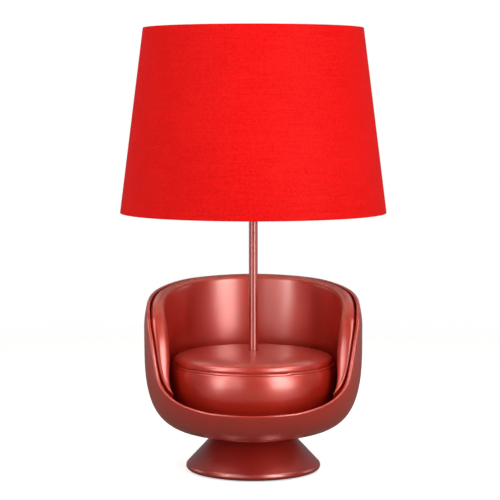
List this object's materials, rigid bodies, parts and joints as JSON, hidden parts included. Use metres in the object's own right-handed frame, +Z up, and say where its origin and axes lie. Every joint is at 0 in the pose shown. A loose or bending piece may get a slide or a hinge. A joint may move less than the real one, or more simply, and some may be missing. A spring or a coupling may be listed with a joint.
{
  "type": "table lamp",
  "caption": "Table lamp with a red tapered drum shade on a slim stem rising from a metallic brick-red miniature tub armchair on a round flared pedestal.",
  "frame": {"origin": "on the surface that the lamp stands on, at the centre of the felt pad, on the axis shared by the pedestal, chair, stem, lampholder and shade", "axes": "+Z up along the stem; -Y towards the front that the chair faces; +X to the right of someone who looks at the chair's front"},
  "size_m": [0.3, 0.3, 0.4996],
  "materials": {
    "chair_paint": "satin",
    "metal_paint": "satin",
    "shade_fabric": "satin",
    "felt": "matte",
    "zinc_steel": "satin",
    "iron": "matte",
    "rubber": "matte",
    "white_plastic": "satin",
    "black_plastic": "satin",
    "brown_insulation": "satin",
    "blue_insulation": "satin",
    "board": "matte",
    "porcelain": "gloss",
    "brass": "satin",
    "bulb_metal": "satin",
    "opal_glass": "satin",
    "white_wire": "satin"
  },
  "bodies": {
    "lamp": {"felt_pad": "felt", "base_cover": "zinc_steel", "cover_screw_1": "zinc_steel", "cover_screw_2": "zinc_steel", "cover_screw_3": "zinc_steel", "ballast_weight": "iron", "pedestal": "metal_paint", "cord_gland": "rubber", "base_washer": "zinc_steel", "base_locknut": "zinc_steel", "terminal_block": "white_plastic", "lead_live": "brown_insulation", "lead_neutral": "blue_insulation", "seam_ring": "metal_paint", "tub_shell": "chair_paint", "shell_washer": "zinc_steel", "shell_locknut": "zinc_steel", "seat_board": "board", "seat_cushion": "chair_paint", "back_liner": "chair_paint", "stem_tube": "metal_paint", "holder_cap": "black_plastic", "holder_lock_screw": "zinc_steel", "holder_skirt": "black_plastic", "holder_insert": "porcelain", "screw_shell": "brass", "centre_contact": "brass"},
    "shade": {"shade_panel": "shade_fabric", "shade_top_wire": "white_wire", "shade_bottom_wire": "white_wire", "fitter_ring": "white_wire", "spider_arm_1": "white_wire", "spider_arm_2": "white_wire", "spider_arm_3": "white_wire"},
    "clamp_ring": {"clamp_ring": "black_plastic"},
    "bulb_carriage": {"bulb_contact": "brass"},
    "bulb": {"bulb_cap": "bulb_metal", "bulb_glass": "opal_glass"},
    "switch": {"switch_knob": "black_plastic"}
  },
  "joints": [
    {"name": "shade_turn", "type": "hinge", "parent": "lamp", "child": "shade", "pos_m": [0, 0, 0.3224], "axis": [0, 0, 1], "continuous": true},
    {"name": "clamp_ring_turn", "type": "hinge", "parent": "lamp", "child": "clamp_ring", "pos_m": [0, 0, 0.3265], "axis": [0, 0, 1], "range_deg": [0, 90]},
    {"name": "bulb_lift", "type": "slide", "parent": "lamp", "child": "bulb_carriage", "axis": [0, 0, 1], "range_m": [0, 0.0145]},
    {"name": "bulb_turn", "type": "hinge", "parent": "bulb_carriage", "child": "bulb", "pos_m": [0, 0, 0.3265], "axis": [0, 0, 1], "range_deg": [0, 1440]},
    {"name": "switch_turn", "type": "hinge", "parent": "lamp", "child": "switch", "pos_m": [0.0159, 0, 0.3095], "axis": [1, 0, 0], "continuous": true}
  ],
  "couplings": [
    {"joint": "bulb_lift", "follows": "bulb_turn", "m_per_rad": 0.00057614}
  ]
}
